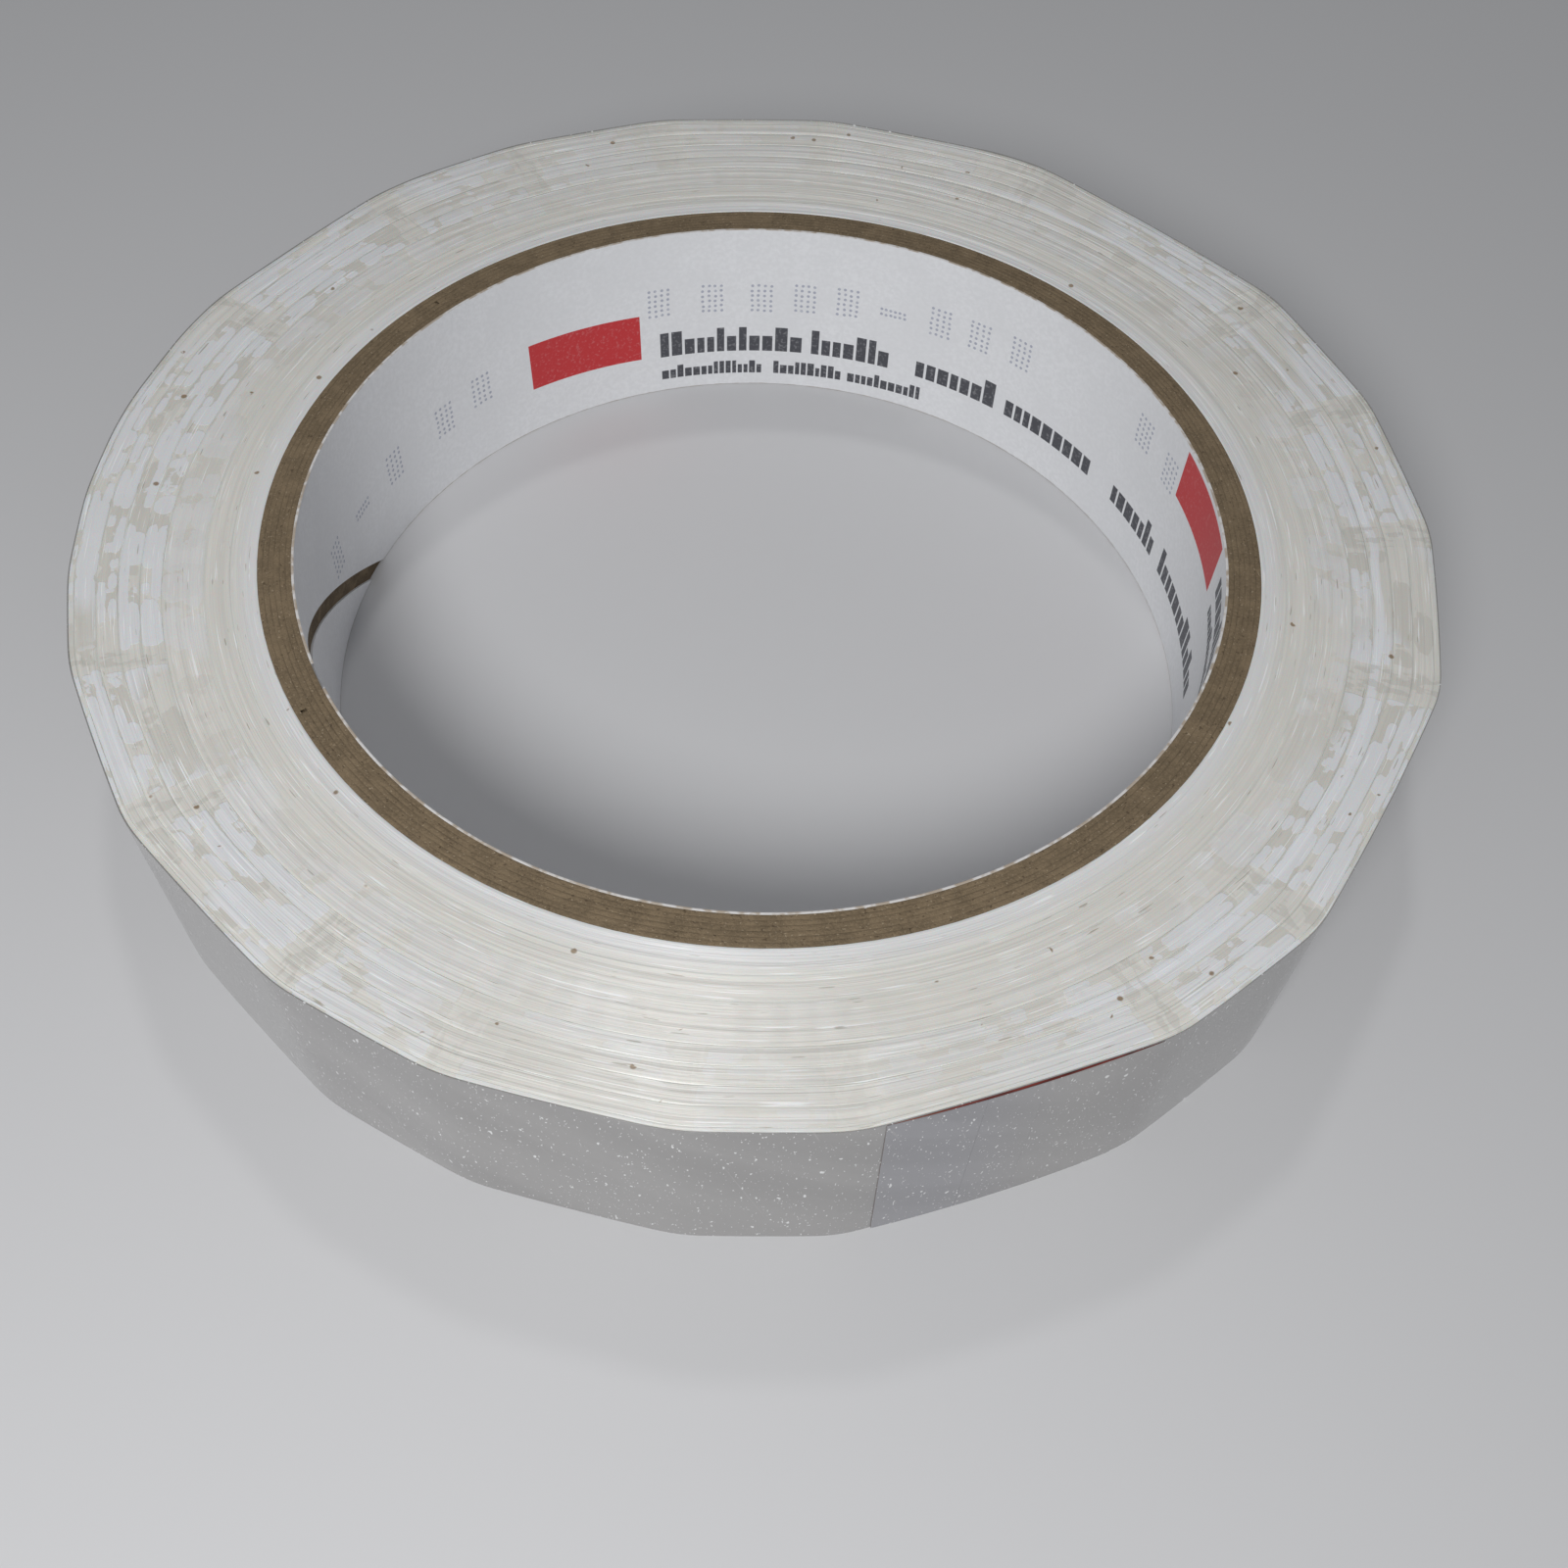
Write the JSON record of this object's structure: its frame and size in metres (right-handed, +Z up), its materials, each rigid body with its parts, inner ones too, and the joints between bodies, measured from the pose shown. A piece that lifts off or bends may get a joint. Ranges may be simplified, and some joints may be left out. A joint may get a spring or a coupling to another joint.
{
  "type": "electrical tape roll",
  "caption": "Wide-bore roll of thin film electrical tape wound on a spiral paper core, with a free end on a red tab that peels away from the roll.",
  "frame": {"origin": "on the bore's axis, in the bottom face", "axes": "+Z up along the bore's axis; the free end's cut faces -Y"},
  "size_m": [0.1116, 0.1111, 0.0191],
  "materials": {
    "liner_paper": "satin",
    "kraft_board": "matte",
    "wound_tape": "satin",
    "tape_film": "gloss",
    "tab_paper": "satin"
  },
  "bodies": {
    "roll": {"core_liner": "liner_paper", "core_ply_1": "kraft_board", "core_ply_2": "kraft_board", "core_ply_3": "kraft_board", "core_ply_4": "kraft_board", "core_ply_5": "kraft_board", "core_ply_6": "kraft_board", "tape_inner_1": "wound_tape", "tape_inner_2": "wound_tape", "tape_inner_3": "wound_tape", "tape_band_1": "wound_tape", "tape_band_2": "wound_tape", "tape_band_3": "wound_tape", "tape_band_4": "wound_tape", "tape_outer_turns": "wound_tape", "tape_last_turn": "tape_film"},
    "peel_1": {"free_end_1": "tape_film", "end_tab_1": "tab_paper"},
    "peel_2": {"free_end_2": "tape_film", "end_tab_2": "tab_paper"},
    "peel_3": {"free_end_3": "tape_film", "end_tab_3": "tab_paper"},
    "peel_4": {"free_end_4": "tape_film", "end_tab_4": "tab_paper"}
  },
  "joints": [
    {"name": "peel_hinge_1", "type": "hinge", "parent": "roll", "child": "peel_1", "pos_m": [0.02563, -0.04799, 0.00953], "axis": [0, 0, 1], "range_deg": [0, 24]},
    {"name": "peel_hinge_2", "type": "hinge", "parent": "peel_1", "child": "peel_2", "pos_m": [0.02159, -0.04949, 0.00953], "axis": [0, 0, 1], "range_deg": [0, 24]},
    {"name": "peel_hinge_3", "type": "hinge", "parent": "peel_2", "child": "peel_3", "pos_m": [0.01755, -0.05092, 0.00953], "axis": [0, 0, 1], "range_deg": [0, 24]},
    {"name": "peel_hinge_4", "type": "hinge", "parent": "peel_3", "child": "peel_4", "pos_m": [0.01349, -0.05228, 0.00953], "axis": [0, 0, 1], "range_deg": [0, 24]}
  ],
  "couplings": [
    {"joint": "peel_hinge_2", "follows": "peel_hinge_1", "ratio": 1},
    {"joint": "peel_hinge_3", "follows": "peel_hinge_1", "ratio": 1},
    {"joint": "peel_hinge_4", "follows": "peel_hinge_1", "ratio": 1}
  ]
}
